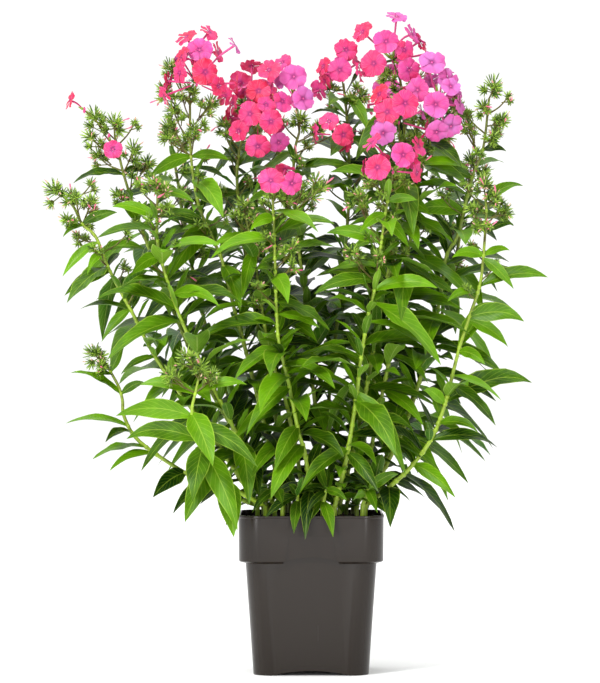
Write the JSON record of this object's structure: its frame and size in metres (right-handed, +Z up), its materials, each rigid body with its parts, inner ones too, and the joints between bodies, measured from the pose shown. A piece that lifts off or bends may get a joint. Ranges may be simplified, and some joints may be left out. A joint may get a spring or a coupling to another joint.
{
  "type": "garden phlox in a nursery pot",
  "caption": "Upright garden phlox with lance-shaped leaves in pairs, green bud heads and pink flower clusters, standing in soil in a square dark plastic nursery pot.",
  "frame": {"origin": "centre of the round foot under the pot's floor, on the standing plane", "axes": "+Z up the plant, -Y towards the viewer of the picture, +X to the viewer's right"},
  "size_m": [0.5299, 0.3503, 0.693],
  "materials": {
    "pot_plastic": "satin",
    "potting_soil": "matt, crumbly",
    "phlox_green": "satin leaf",
    "phlox_petal": "soft petal"
  },
  "bodies": {
    "root": {"bloom_back_left": "phlox_petal", "bloom_back_right": "phlox_petal", "bloom_centre": "phlox_petal", "bloom_centre_back": "phlox_petal", "bloom_centre_left": "phlox_petal", "bloom_centre_low": "phlox_petal", "bloom_front_right": "phlox_petal", "bloom_left": "phlox_petal", "bloom_left_low": "phlox_petal", "bloom_left_side": "phlox_petal", "bloom_pair": "phlox_petal", "bloom_right_middle": "phlox_petal", "bloom_right_side": "phlox_petal", "bloom_right_top": "phlox_petal", "low_shoot_front": "phlox_green", "low_shoot_left": "phlox_green", "low_shoot_right": "phlox_green", "low_shoot_rim": "phlox_green", "pot": "pot_plastic", "shoot_front_left": "phlox_green", "shoot_left": "phlox_green", "soil": "potting_soil", "stem_back_far_right": "phlox_green", "stem_back_left": "phlox_green", "stem_back_middle": "phlox_green", "stem_back_right": "phlox_green", "stem_centre_back": "phlox_green", "stem_centre_left": "phlox_green", "stem_centre_short": "phlox_green", "stem_centre_tall_back": "phlox_green", "stem_front_left": "phlox_green", "stem_front_right": "phlox_green", "stem_left_flower": "phlox_green", "stem_left_front": "phlox_green", "stem_left_outer": "phlox_green", "stem_left_tall": "phlox_green", "stem_right_back": "phlox_green", "stem_right_centre": "phlox_green", "stem_right_flower": "phlox_green", "stem_right_outer": "phlox_green", "stem_right_tall": "phlox_green"}
  },
  "joints": []
}
